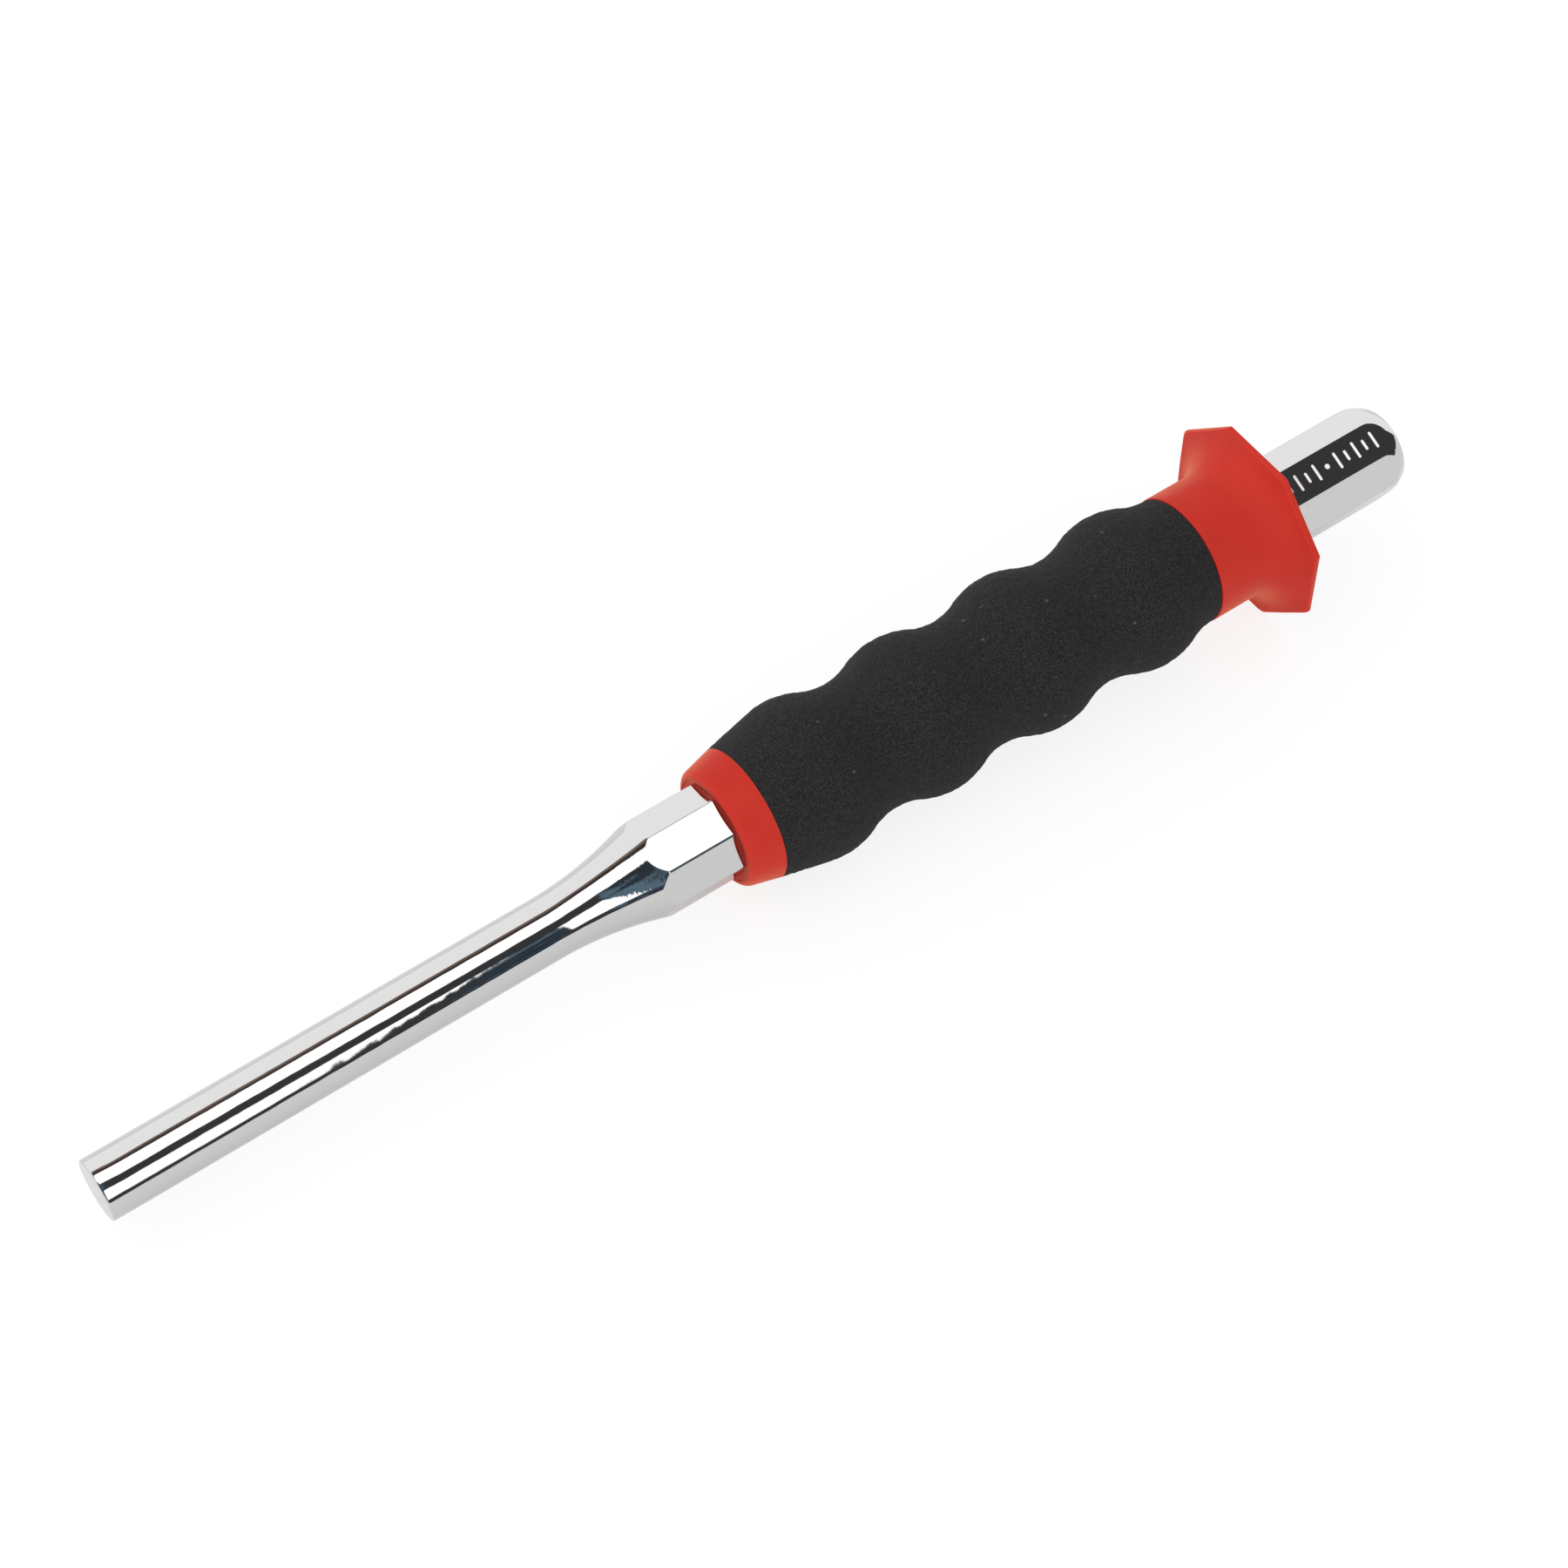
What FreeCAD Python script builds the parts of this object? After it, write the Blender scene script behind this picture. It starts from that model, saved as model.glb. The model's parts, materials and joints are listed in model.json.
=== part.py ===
import FreeCAD, Part
import math
import os

# Sheathed parallel pin punch.
# +X runs along the axis from the working tip to the struck head, +Z is up, and the origin is the
# centre of the tip's flat working face. Every length is in millimetres and every angle in degrees.

# ---- punch: one steel forging ----
pin_diameter = 10.0
pin_length = 76.0
tip_edge_radius = 0.3
blend_radius = 61.0             # concave turned blend from the pin up to the shank
root_to_grip = 31.1             # from the pin's root to the front of the grip
shank_across_flats = 15.0
corner_break = 0.05             # how much the bar's corners are rolled off
head_length = 27.4              # bare shank behind the guard, up to the struck face
crown_radius = 8.8              # rounding of the head towards the struck face
crown_length = 5.0              # struck face ahead of where the rounding starts at the corners
face_edge_radius = 0.5          # edge of the struck face

# ---- stamped tally on the upper near flat, behind the guard ----
mark_depth = 0.15
mark_width = 0.5
long_mark = 3.0
short_mark = 1.9
mark_pitch = 1.9
marks_per_group = 5
group_centres = (8.4, 20.4)     # distances forward of the struck face
dot_diameter = 0.9

# ---- hand guard: core tube, neck, flare and octagonal rim in one moulding ----
shank_interference = 0.05       # the mouldings' octagonal bores are this much under the flats
core_wall = 1.1                 # core tube outside the shank's corners
neck_step = 0.1                 # neck standing proud of the foam's waist
neck_length = 7.75
flare_radius = 5.9
rim_thickness = 1.1
rim_overhang = 5.38             # rim flats beyond the neck
rim_corner_radius = 0.5
rim_corner_roll = 0.85          # front of the rim's corners, rolled back from the flare's edge
rim_edge_radius = 0.25
bore_chamfer = 0.4

# ---- front collar ----
collar_length = 5.5
collar_front_wall = 2.7
collar_ring_wall = 2.0          # ring outside the core tube, at the foam
collar_taper = 14.0             # cone angle of the outside against the axis
collar_shoulder_radius = 1.3
collar_interference = 0.05      # collar socket under the core tube's radius
mouth_gap = 0.65                # lip of the mouth outside the shank's corners
mouth_depth = 0.5

# ---- foam grip ----
foam_stretch = 0.1              # sleeve bore under the core tube's radius
foam_waist_wall = 1.8
swell_height = 2.28
swell_count = 4
swell_pitch = 21.0
swell_lead = 11.3               # from the collar to the first crest
foam_end_land = 0.45            # straight stretch after the last swell

# ---- worked out from the sizes above ----
sides = 8
side_angle = 360.0 / sides
half_side = math.radians(side_angle / 2)
shank_corner = shank_across_flats / 2 / math.cos(half_side)
shank_envelope = shank_corner - corner_break
core_radius = shank_corner + core_wall
waist_radius = core_radius + foam_waist_wall
swell_radius = waist_radius + swell_height
neck_radius = waist_radius + neck_step
guard_across_flats = 2 * (neck_radius + rim_overhang)

grip_start = pin_length + root_to_grip
foam_start = grip_start + collar_length
foam_end = foam_start + swell_lead + (swell_count - 0.5) * swell_pitch + foam_end_land
flare_start = foam_end + neck_length
rim_front = flare_start + flare_radius
guard_rear = rim_front + rim_thickness
total_length = guard_rear + head_length

AXIS = FreeCAD.Vector(1, 0, 0)
ORIGIN = FreeCAD.Vector(0, 0, 0)
MARKED_FLAT_TURN = side_angle / 2   # from +Z towards -Y


def at(x, radius):
    """A point of a turned outline, in the XZ plane."""
    return FreeCAD.Vector(x, 0, radius)


def line(start, end):
    return Part.makeLine(at(*start), at(*end))


def arc(centre, radius, start_angle, end_angle):
    """A circular arc of an outline; 0 degrees points along +X and 90 degrees outwards."""
    corners = []
    for angle in (start_angle, (start_angle + end_angle) / 2, end_angle):
        turn = math.radians(angle)
        corners.append(at(centre[0] + radius * math.cos(turn), centre[1] + radius * math.sin(turn)))
    return Part.Arc(*corners).toShape()


def ends(edge):
    """The first and last outline points of an edge made by arc."""
    first = edge.valueAt(edge.FirstParameter)
    last = edge.valueAt(edge.LastParameter)
    return (first.x, first.z), (last.x, last.z)


def turned(edges):
    """The solid that a closed outline makes in one turn about the axis."""
    face = Part.Face(Part.Wire(edges))
    return face.revolve(ORIGIN, AXIS, 360)


def chain(pieces):
    """A closed list of edges: arcs are kept, and straight lines join what lies between them."""
    edges = []
    spot = None
    for piece in pieces:
        if isinstance(piece, tuple):
            start, end = piece, piece
            made = []
        else:
            start, end = ends(piece)
            made = [piece]
        if spot is not None and math.dist(spot, start) > 1e-6:
            edges.append(line(spot, start))
        edges.extend(made)
        spot = end
    first = pieces[0]
    edges.append(line(spot, first))
    return edges


def octagon_bar(across_flats, start, end, turn):
    """An octagonal bar along the axis, with its first corner turned this far from +Z."""
    corner = across_flats / 2 / math.cos(half_side)
    points = []
    for index in range(sides + 1):
        angle = math.radians(turn + index * side_angle)
        points.append(FreeCAD.Vector(start, -corner * math.sin(angle), corner * math.cos(angle)))
    face = Part.Face(Part.makePolygon(points))
    return face.extrude(AXIS * (end - start))


def shank_bore(start, end):
    """The octagonal hole that grips the shank."""
    return octagon_bar(shank_across_flats - 2 * shank_interference, start, end, 0)


def stamp(x, length, width):
    """A round-ended stamping tool that sinks mark_depth into the marked flat."""
    reach = (length - width) / 2
    half = width / 2
    flat = shank_across_flats / 2
    floor = flat - mark_depth
    near = FreeCAD.Vector(x - half, -reach, floor)
    far = FreeCAD.Vector(x + half, -reach, floor)
    near_back = FreeCAD.Vector(x - half, reach, floor)
    far_back = FreeCAD.Vector(x + half, reach, floor)
    low_end = FreeCAD.Vector(x, -reach - half, floor)
    high_end = FreeCAD.Vector(x, reach + half, floor)
    outline = [Part.Arc(near, low_end, far).toShape()]
    if reach > 0:
        outline.append(Part.makeLine(far, far_back))
    outline.append(Part.Arc(far_back, high_end, near_back).toShape())
    if reach > 0:
        outline.append(Part.makeLine(near_back, near))
    tool = Part.Face(Part.Wire(outline)).extrude(FreeCAD.Vector(0, 0, 2 * mark_depth))
    tool.rotate(ORIGIN, AXIS, MARKED_FLAT_TURN)
    return tool


def tally_tools():
    """Two groups of bars, long and short in turn, with a dot between the groups."""
    tools = []
    for distance in group_centres:
        for index in range(marks_per_group):
            offset = (index - (marks_per_group - 1) / 2) * mark_pitch
            length = long_mark if index % 2 == 0 else short_mark
            tools.append(stamp(total_length - distance + offset, length, mark_width))
    middle = sum(group_centres) / len(group_centres)
    tools.append(stamp(total_length - middle, dot_diameter, dot_diameter))
    return tools


def make_punch():
    pin_radius = pin_diameter / 2
    tip_edge = arc((tip_edge_radius, pin_radius - tip_edge_radius), tip_edge_radius, 180, 90)
    blend_top = math.degrees(math.acos((blend_radius - (shank_envelope - pin_radius)) / blend_radius))
    blend = arc((pin_length, pin_radius + blend_radius), blend_radius, 270, 270 + blend_top)
    crown_start = total_length - crown_length
    crown_centre = shank_envelope - crown_radius
    edge_run = crown_length - face_edge_radius
    edge_rise = math.sqrt((crown_radius - face_edge_radius) ** 2 - edge_run ** 2)
    crown_end = math.degrees(math.atan2(edge_rise, edge_run))
    crown = arc((crown_start, crown_centre), crown_radius, 90, crown_end)
    face_edge = arc((crown_start + edge_run, crown_centre + edge_rise), face_edge_radius, crown_end, 0)
    outline = chain([(0, 0), tip_edge, blend, crown, face_edge, (total_length, 0)])
    bar = octagon_bar(shank_across_flats, -1, total_length + 1, 0)
    body = turned(outline).common(bar)
    return body.cut(Part.makeCompound(tally_tools()))


def make_hand_guard():
    core_start = grip_start + collar_front_wall
    flare_edge = neck_radius + flare_radius
    flare = arc((flare_start, flare_edge), flare_radius, 270, 360)
    roll = arc((rim_front + rim_corner_roll, flare_edge), rim_corner_roll, 180, 90)
    outline = chain([
        (core_start, 0),
        (core_start, core_radius),
        (foam_end, core_radius),
        (foam_end, neck_radius),
        flare,
        roll,
        (guard_rear, flare_edge + rim_corner_roll),
        (guard_rear, 0),
    ])
    rim = octagon_bar(guard_across_flats, core_start - 1, guard_rear, side_angle / 2)
    long_edges = [edge for edge in rim.Edges if edge.Length > rim_thickness + flare_radius]
    long_edges = [edge for edge in long_edges if abs(edge.tangentAt(edge.FirstParameter).x) > 0.9]
    rim = rim.makeFillet(rim_corner_radius, long_edges)
    back_edges = [edge for edge in rim.Edges if edge.BoundBox.XMin > guard_rear - 0.01]
    rim = rim.makeFillet(rim_edge_radius, back_edges)
    body = turned(outline).common(rim)
    mouth = Part.makeCone(
        shank_corner + bore_chamfer, shank_corner - bore_chamfer, 2 * bore_chamfer,
        FreeCAD.Vector(guard_rear, 0, 0), FreeCAD.Vector(-1, 0, 0))
    return body.cut(mouth).cut(shank_bore(core_start - 1, guard_rear + 1))


def make_front_collar():
    rear_radius = core_radius + collar_ring_wall
    socket_radius = core_radius - collar_interference
    socket_floor = grip_start + collar_front_wall
    mouth_radius = shank_corner + mouth_gap
    slope = math.radians(collar_taper)
    centre_x = grip_start + collar_shoulder_radius
    cone_over_centre = rear_radius - (foam_start - centre_x) * math.tan(slope)
    centre_radius = cone_over_centre - collar_shoulder_radius / math.cos(slope)
    shoulder = arc((centre_x, centre_radius), collar_shoulder_radius, 180, 90 + collar_taper)
    outline = chain([
        (grip_start + mouth_depth, 0),
        (grip_start + mouth_depth, shank_across_flats / 2),
        (grip_start, mouth_radius),
        shoulder,
        (foam_start, rear_radius),
        (foam_start, socket_radius),
        (socket_floor, socket_radius),
        (socket_floor, 0),
    ])
    return turned(outline).cut(shank_bore(grip_start - 1, foam_start + 1))


def swell_edges():
    """Crests and waists of the finger swells, as equal arcs that meet where they are steepest."""
    half_height = swell_height / 2
    quarter = swell_pitch / 4
    radius = (quarter ** 2 + half_height ** 2) / (2 * half_height)
    reach = math.degrees(math.asin(quarter / radius))
    crest_centre = swell_radius - radius
    waist_centre = waist_radius + radius
    start_radius = core_radius + collar_ring_wall
    first_crest = foam_start + swell_lead
    rise = start_radius - crest_centre
    lead_angle = math.degrees(math.atan2(rise, -swell_lead))
    tangent_angle = lead_angle - math.degrees(math.acos(radius / math.hypot(rise, swell_lead)))
    edges = []
    for index in range(swell_count):
        crest = first_crest + index * swell_pitch
        start_angle = tangent_angle if index == 0 else 90 + reach
        edges.append(arc((crest, crest_centre), radius, start_angle, 90 - reach))
        waist_end = 270 if index == swell_count - 1 else 270 + reach
        edges.append(arc((crest + swell_pitch / 2, waist_centre), radius, 270 - reach, waist_end))
    return edges


def make_foam_grip():
    bore = core_radius - foam_stretch
    outline = chain([
        (foam_start, bore),
        (foam_start, core_radius + collar_ring_wall),
        *swell_edges(),
        (foam_end, waist_radius),
        (foam_end, bore),
    ])
    return turned(outline)


def save(name, shape):
    shape = shape.removeSplitter()
    solid = shape.Solids[0]
    box = solid.BoundBox
    solid.exportStep("parts/" + name + ".step")
    print(name, "solids", len(shape.Solids), "valid", solid.isValid(), "volume", round(solid.Volume, 1),
          "x", round(box.XMin, 3), round(box.XMax, 3), "z", round(box.ZMin, 3), round(box.ZMax, 3))


os.makedirs("parts", exist_ok=True)
save("punch", make_punch())
save("hand_guard", make_hand_guard())
save("front_collar", make_front_collar())
save("foam_grip", make_foam_grip())
print("total length", total_length, "guard across flats", round(guard_across_flats, 3))
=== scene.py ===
"""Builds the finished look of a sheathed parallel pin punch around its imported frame.

The axis of the tool is +X, from the flat working tip at the origin to the struck head. Angles around
the axis are counted from +Z towards -Y. Every length below is in metres unless its name says mm.
"""
import json
import logging
import math
from dataclasses import dataclass, field
from enum import Enum

import bpy
import numpy as np
from mathutils import Matrix, Vector

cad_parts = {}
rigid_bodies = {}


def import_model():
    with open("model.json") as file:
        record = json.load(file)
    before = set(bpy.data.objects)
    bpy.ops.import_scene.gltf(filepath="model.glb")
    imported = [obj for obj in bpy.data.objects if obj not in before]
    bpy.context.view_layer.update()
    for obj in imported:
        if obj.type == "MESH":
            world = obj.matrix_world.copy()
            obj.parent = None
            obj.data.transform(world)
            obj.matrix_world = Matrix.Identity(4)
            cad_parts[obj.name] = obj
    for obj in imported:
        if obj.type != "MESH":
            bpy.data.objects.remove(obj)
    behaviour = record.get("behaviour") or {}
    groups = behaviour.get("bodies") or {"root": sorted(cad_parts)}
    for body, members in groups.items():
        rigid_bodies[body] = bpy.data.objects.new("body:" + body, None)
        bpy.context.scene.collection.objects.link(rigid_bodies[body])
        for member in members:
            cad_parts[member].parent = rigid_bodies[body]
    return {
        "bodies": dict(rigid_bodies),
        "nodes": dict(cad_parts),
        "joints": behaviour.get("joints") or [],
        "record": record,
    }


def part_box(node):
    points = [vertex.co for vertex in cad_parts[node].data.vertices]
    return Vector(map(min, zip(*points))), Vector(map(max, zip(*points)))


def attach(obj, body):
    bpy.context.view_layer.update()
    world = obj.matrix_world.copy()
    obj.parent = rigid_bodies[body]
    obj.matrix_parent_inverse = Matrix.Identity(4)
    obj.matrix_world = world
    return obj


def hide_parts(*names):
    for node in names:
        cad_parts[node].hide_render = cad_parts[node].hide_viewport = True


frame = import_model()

log = logging.getLogger("pin_punch")

MM = 0.001
SIDES = 8
SIDE_ANGLE = 2 * math.pi / SIDES
HALF_SIDE = SIDE_ANGLE / 2


class Body(Enum):
    """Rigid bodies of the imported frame."""

    ROOT = "root"


class Node(Enum):
    """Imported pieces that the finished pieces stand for."""

    PUNCH = "punch"
    GUARD = "hand_guard"
    COLLAR = "front_collar"
    FOAM = "foam_grip"


class Slot(Enum):
    """Finish slots of the record."""

    STEEL = "chrome_steel"
    GUARD = "guard_red"
    COLLAR = "collar_red"
    FOAM = "foam_black"


# ---------------------------------------------------------------------------------------------------
# Surface arithmetic
# ---------------------------------------------------------------------------------------------------


def octagon_radius(angle: np.ndarray, flat: float, roll: float, first_corner: float) -> np.ndarray:
    """Distance from the axis to an octagon with rolled corners.

    On a flat it is flat / cos(turn from the flat's middle). Near a corner it is the far crossing of the
    ray with a circle of radius roll, whose centre lies on the corner's ray where both flats touch it.

    Args:
        angle: Angles around the axis, in radians.
        flat: Distance from the axis to each flat.
        roll: Radius of the rolled corners.
        first_corner: Angle of one corner.

    Returns:
        One radius for each angle.
    """
    off_corner = np.mod(angle - first_corner + HALF_SIDE, SIDE_ANGLE) - HALF_SIDE
    off_flat = HALF_SIDE - np.abs(off_corner)
    straight = flat / np.cos(off_flat)
    centre = (flat - roll) / math.cos(HALF_SIDE)
    under_root = np.clip(roll ** 2 - (centre * np.sin(off_corner)) ** 2, 0, None)
    rolled = centre * np.cos(off_corner) + np.sqrt(under_root)
    tangent = math.atan2((flat - roll) * math.tan(HALF_SIDE), flat)
    return np.where(off_flat < tangent, straight, rolled)


def smooth_lower(first: np.ndarray, second: np.ndarray, blend: float) -> np.ndarray:
    """The lower of two surfaces, rounded where they cross.

    With h = 0.5 + (second - first) / (2 blend), held between 0 and 1, the result is
    first h + second (1 - h) - blend h (1 - h).

    Args:
        first: Heights of one surface.
        second: Heights of the other.
        blend: Height difference over which the crossing is rounded.

    Returns:
        The rounded lower surface.
    """
    h = np.clip(0.5 + 0.5 * (second - first) / blend, 0, 1)
    return first * h + second * (1 - h) - blend * h * (1 - h)


def columns(between: int, roll_share: float, in_roll: int, first_corner: float) -> np.ndarray:
    """Angles of the grid's columns: even across each flat and close together round each corner.

    Args:
        between: Columns across one flat.
        roll_share: Share of half a side that the rolled corner takes.
        in_roll: Columns round one corner.
        first_corner: Angle of one corner.

    Returns:
        Rising angles for a full turn, without the closing one.
    """
    edge = HALF_SIDE * (1 - roll_share)
    holding = HALF_SIDE * 0.012
    flat = np.concatenate(([-edge], np.linspace(-edge + holding, edge - holding, between), [edge]))
    corner = HALF_SIDE + np.linspace(-1, 1, in_roll + 2)[1:-1] * HALF_SIDE * roll_share
    one_side = np.concatenate((flat, corner))
    turns = np.arange(SIDES)[:, None] * SIDE_ANGLE + HALF_SIDE + first_corner
    return (turns + one_side[None, :]).ravel()


def grain(rows: int, cols: int, size: float, seed: int) -> np.ndarray:
    """Even random relief on a grid that closes on itself both ways.

    White noise is multiplied by exp(-(frequency * size)^2) in the frequency plane, which leaves lumps
    about `size` cells across, and is then scaled to unit spread.

    Args:
        rows: Grid rows.
        cols: Grid columns.
        size: Width of a lump, in cells.
        seed: Seed of the noise.

    Returns:
        Heights with mean 0 and spread 1.
    """
    noise = np.random.default_rng(seed).standard_normal((rows, cols))
    fy = np.fft.fftfreq(rows)[:, None]
    fx = np.fft.fftfreq(cols)[None, :]
    soft = np.fft.ifft2(np.fft.fft2(noise) * np.exp(-(fx ** 2 + fy ** 2) * (size * 2) ** 2)).real
    return (soft - soft.mean()) / soft.std()


@dataclass
class Skin:
    """Rows of a skin turned about the axis; each row goes once round.

    Point (i, j) is (x_ij, -r_ij sin a_j, r_ij cos a_j).
    """

    angle: np.ndarray
    x_parts: list[np.ndarray] = field(default_factory=list)
    r_parts: list[np.ndarray] = field(default_factory=list)

    def add(self, x: np.ndarray | float, radius: np.ndarray | float) -> None:
        """Adds rows; a rising or single value is spread over the columns.

        Args:
            x: Place along the axis: a number, one per row, or rows by columns.
            radius: Distance from the axis, in the same forms.
        """
        x = np.asarray(x, float)
        radius = np.asarray(radius, float)
        x = x[:, None] if x.ndim == 1 else np.atleast_2d(x)
        radius = radius[:, None] if radius.ndim == 1 else np.atleast_2d(radius)
        count = max(x.shape[0], radius.shape[0])
        shape = (count, len(self.angle))
        self.x_parts.append(np.broadcast_to(x, shape))
        self.r_parts.append(np.broadcast_to(radius, shape))

    def build(self, name: str, ring: bool) -> bpy.types.Object:
        """Makes the mesh object.

        Args:
            name: Name of the piece.
            ring: True closes the last row onto the first; False closes both ends with a pole.

        Returns:
            The new object, smooth apart from edges sharper than 32 degrees.
        """
        x = np.concatenate(self.x_parts)
        radius = np.concatenate(self.r_parts)
        rows, cols = x.shape
        points = np.stack((x, -radius * np.sin(self.angle), radius * np.cos(self.angle)), axis=-1)
        points = points.reshape(-1, 3)
        index = np.arange(rows * cols).reshape(rows, cols)
        ahead = np.roll(index, -1, axis=1)
        if ring:
            low, high = index, np.roll(index, -1, axis=0)
            low_ahead, high_ahead = ahead, np.roll(ahead, -1, axis=0)
        else:
            low, high, low_ahead, high_ahead = index[:-1], index[1:], ahead[:-1], ahead[1:]
        quads = np.stack((low, low_ahead, high_ahead, high), axis=-1).reshape(-1, 4)
        corners = quads.ravel()
        counts = np.full(len(quads), 4)
        if not ring:
            poles = np.array([[x[0].mean(), 0, 0], [x[-1].mean(), 0, 0]])
            first_pole = len(points)
            points = np.concatenate((points, poles))
            start = np.stack((np.full(cols, first_pole), ahead[0], index[0]), axis=-1)
            end = np.stack((np.full(cols, first_pole + 1), index[-1], ahead[-1]), axis=-1)
            corners = np.concatenate((corners, start.ravel(), end.ravel()))
            counts = np.concatenate((counts, np.full(2 * cols, 3)))
        return mesh_object(name, points, corners, counts)


def mesh_object(name: str, points: np.ndarray, corners: np.ndarray, counts: np.ndarray) -> bpy.types.Object:
    """Puts points and faces into a new object at the origin.

    Args:
        name: Name of the object and its mesh.
        points: Vertex places, in metres.
        corners: Vertex numbers of all faces, one after the other.
        counts: Number of corners of each face.

    Returns:
        The new object, linked to the scene.
    """
    mesh = bpy.data.meshes.new(name)
    mesh.vertices.add(len(points))
    mesh.vertices.foreach_set("co", points.astype(np.float32).ravel())
    mesh.loops.add(len(corners))
    mesh.loops.foreach_set("vertex_index", corners.astype(np.int32))
    mesh.polygons.add(len(counts))
    starts = np.concatenate(([0], np.cumsum(counts)[:-1]))
    mesh.polygons.foreach_set("loop_start", starts.astype(np.int32))
    mesh.polygons.foreach_set("loop_total", counts.astype(np.int32))
    mesh.update(calc_edges=True)
    mesh.validate()
    shade(mesh)
    made = bpy.data.objects.new(name, mesh)
    bpy.context.scene.collection.objects.link(made)
    return made


def shade(mesh: bpy.types.Mesh, crease: float = 32.0) -> None:
    """Smooths a mesh and keeps edges that turn by more than crease degrees sharp."""
    mesh.polygons.foreach_set("use_smooth", np.ones(len(mesh.polygons), bool))
    mesh.set_sharp_from_angle(angle=math.radians(crease))


# ---------------------------------------------------------------------------------------------------
# Finishes
# ---------------------------------------------------------------------------------------------------


@dataclass
class Sheet:
    """A node tree with short ways to add and join nodes."""

    tree: bpy.types.NodeTree

    def node(self, kind: str, **values: object) -> bpy.types.Node:
        """Adds a node and sets its properties, or its inputs by name with underscores for spaces.

        Args:
            kind: Blender's node type.
            **values: Property values, input values, or output sockets to join to inputs.

        Returns:
            The new node.
        """
        made = self.tree.nodes.new(kind)
        for key, value in values.items():
            title = key.replace("_", " ")
            if key[:2] == "in" and key[2:].isdigit():
                self.put(made.inputs[int(key[2:])], value)
            elif hasattr(made, key):
                setattr(made, key, value)
            else:
                self.put(made.inputs[title], value)
        return made

    def put(self, socket: bpy.types.NodeSocket, value: object) -> None:
        """Joins a socket to value, or sets value on it."""
        if isinstance(value, bpy.types.NodeSocket):
            self.tree.links.new(value, socket)
        else:
            socket.default_value = value

    def math(self, operation: str, first: object, second: object = 0.0) -> bpy.types.NodeSocket:
        """The result of one arithmetic step on sockets or numbers."""
        made = self.node("ShaderNodeMath", operation=operation, in0=first, in1=second)
        return made.outputs[0]

    def noise(self, vector: bpy.types.NodeSocket, scale: float, detail: float = 2.0) -> bpy.types.NodeSocket:
        """Soft random values from 0 to 1 at the given frequency per metre."""
        made = self.node("ShaderNodeTexNoise", Vector=vector, Scale=scale, Detail=detail)
        return made.outputs["Fac"]

    def stretched(self, vector: bpy.types.NodeSocket,
                  scale: tuple[float, float, float]) -> bpy.types.NodeSocket:
        """A vector scaled by a different amount along each axis."""
        made = self.node("ShaderNodeMapping", Vector=vector, Scale=scale)
        return made.outputs[0]

    def between(self, value: object, low: float, high: float, to_low: float,
                to_high: float) -> bpy.types.NodeSocket:
        """Value carried from the range low..high to to_low..to_high, eased and held at its ends."""
        made = self.node("ShaderNodeMapRange", interpolation_type="SMOOTHSTEP", in0=value, in1=low, in2=high,
                         in3=to_low, in4=to_high)
        return made.outputs[0]

    def mixed(self, share: object, first: object, second: object) -> bpy.types.NodeSocket:
        """First colour where share is 0 and second where it is 1."""
        made = self.node("ShaderNodeMix", data_type="RGBA", in0=share, in6=first, in7=second)
        return made.outputs[2]

    def window(self, value: bpy.types.NodeSocket, low: float | None, high: float | None,
               soft: float) -> bpy.types.NodeSocket:
        """1 between low and high and 0 outside, with edges this soft; None leaves a side open.

        Args:
            value: The value that is looked at.
            low: Lower edge, or None.
            high: Upper edge, or None.
            soft: Width over which an edge turns from 0 to 1.

        Returns:
            The share inside the window.
        """
        if high is None:
            return self.between(value, low - soft / 2, low + soft / 2, 0.0, 1.0)
        falling = self.between(value, high - soft / 2, high + soft / 2, 1.0, 0.0)
        if low is None:
            return falling
        return self.math("MULTIPLY", falling, self.window(value, low, None, soft))


def new_material(name: str) -> tuple[bpy.types.Material, Sheet, bpy.types.Node, bpy.types.NodeSocket]:
    """An empty material with one surface shader.

    Args:
        name: Name of the finish.

    Returns:
        The material, its node sheet, its surface shader and the object coordinates.
    """
    material = bpy.data.materials.new(name)
    material.use_nodes = True
    sheet = Sheet(material.node_tree)
    shader = material.node_tree.nodes["Principled BSDF"]
    place = sheet.node("ShaderNodeTexCoord").outputs["Object"]
    return material, sheet, shader, place


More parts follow.
